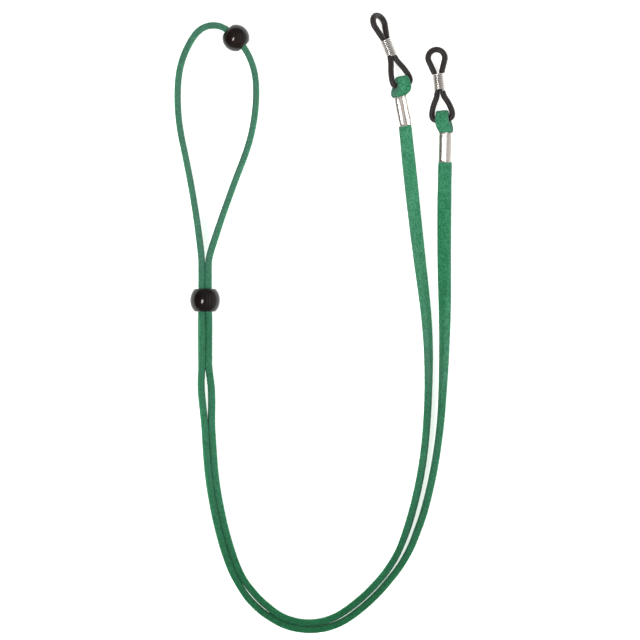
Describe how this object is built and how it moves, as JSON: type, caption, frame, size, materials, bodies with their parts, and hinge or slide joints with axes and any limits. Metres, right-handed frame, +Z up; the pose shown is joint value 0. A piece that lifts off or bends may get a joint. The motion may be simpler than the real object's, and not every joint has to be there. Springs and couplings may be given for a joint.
{
  "type": "eyeglass retainer strap",
  "caption": "Suede lace eyeglass retainer with a neck loop, sliding barrel bead, round bead, crimped ferrules and elastic temple loops cinched by wire coils.",
  "frame": {"origin": "centre of the object's footprint, on the table it lies on", "axes": "+Y from the strap's wide bend towards the neck loop's top, +X from the neck loop towards the temple loops, +Z up from the table"},
  "size_m": [0.0826, 0.1833, 0.0088],
  "materials": {
    "suede": "soft napped suede, matte",
    "bead_slider": "polished black",
    "bead_round": "polished brown-black",
    "ferrule_metal": "bright nickel plating with fine rolling lines",
    "elastic_cord": "matte moulded rubber",
    "coil_wire": "bright drawn wire"
  },
  "bodies": {
    "strap": {"strap_back": "suede"},
    "left_arm": {"strap_left_arm": "suede", "left_ferrule": "ferrule_metal"},
    "right_arm": {"strap_right_arm": "suede", "right_ferrule": "ferrule_metal"},
    "slider": {"slider_bead": "bead_slider"},
    "bead": {"round_bead": "bead_round"},
    "left_loop": {"left_temple_loop": "elastic_cord"},
    "right_loop": {"right_temple_loop": "elastic_cord"},
    "left_spring": {"left_coil": "coil_wire"},
    "right_spring": {"right_coil": "coil_wire"}
  },
  "joints": [
    {"name": "slider_slide", "type": "slide", "parent": "strap", "child": "slider", "axis": [0, 1, 0], "range_m": [-0.015, 0.0055]},
    {"name": "round_bead_travel", "type": "hinge", "parent": "strap", "child": "bead", "pos_m": [-0.03814, 0.06957, 0.0044], "axis": [0, 0, 1], "range_deg": [-30, 1]},
    {"name": "left_arm_flex", "type": "hinge", "parent": "strap", "child": "left_arm", "pos_m": [0.02345, -0.06965, 0.00294], "axis": [0.003, -0.0426, 0.9991], "range_deg": [0, 10]},
    {"name": "right_arm_flex", "type": "hinge", "parent": "strap", "child": "right_arm", "pos_m": [0.02512, -0.07085, 0.00288], "axis": [0.003, -0.0426, 0.9991], "range_deg": [-30, 0]},
    {"name": "left_loop_swing", "type": "hinge", "parent": "left_arm", "child": "left_loop", "pos_m": [0.02589, 0.07016, 0.00341], "axis": [-0.819, -0.2856, 0.4976], "range_deg": [-95, 95]},
    {"name": "right_loop_swing", "type": "hinge", "parent": "right_arm", "child": "right_loop", "pos_m": [0.0376, 0.06002, 0.00317], "axis": [-0.9717, -0.1135, -0.2072], "range_deg": [-95, 95]},
    {"name": "left_coil_slide", "type": "slide", "parent": "left_loop", "child": "left_spring", "axis": [-0.3386, 0.9408, -0.0173], "range_m": [-0.0012, 0.0004]},
    {"name": "right_coil_slide", "type": "slide", "parent": "right_loop", "child": "right_spring", "axis": [-0.0965, 0.9912, -0.0902], "range_m": [-0.0012, 0.0004]}
  ]
}
